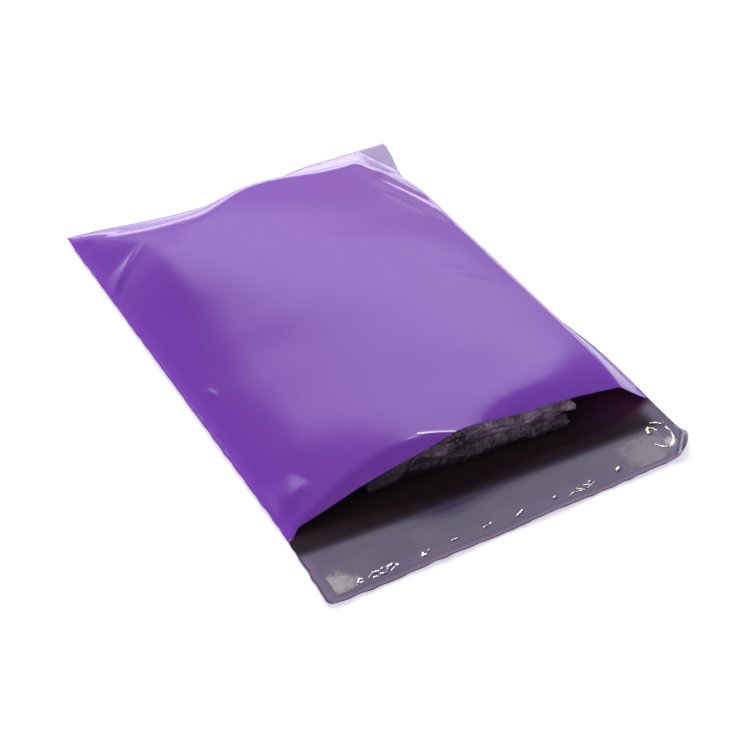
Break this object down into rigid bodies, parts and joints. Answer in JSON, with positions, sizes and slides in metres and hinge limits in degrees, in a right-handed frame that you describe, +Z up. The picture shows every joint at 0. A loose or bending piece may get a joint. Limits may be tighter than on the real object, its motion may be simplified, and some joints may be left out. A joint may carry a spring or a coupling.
{
  "type": "poly mailer bag",
  "caption": "Filled poly mailer lying open: glossy film envelope with side welds, bottom fold and flat closure flap with adhesive and liner, holding a film-wrapped bundle.",
  "frame": {"origin": "on the floor under the middle of the bag with its flap laid out", "axes": "+Y from the mouth to the bottom fold, +Z up out of the floor, +X to the right seen from the mouth"},
  "size_m": [0.25, 0.374, 0.033],
  "materials": {
    "mailer_film": "glossy purple polyethylene film, grey-black on the inside",
    "adhesive_strip": "clear tacky hot-melt band over the grey film",
    "release_liner": "clear thin film, slightly blistered",
    "wrapped_bundle": "dark soft goods in crumpled clear film"
  },
  "bodies": {
    "root": {"mailer_film": "mailer_film", "adhesive_strip": "adhesive_strip", "release_liner": "release_liner", "wrapped_bundle": "wrapped_bundle"}
  },
  "joints": []
}
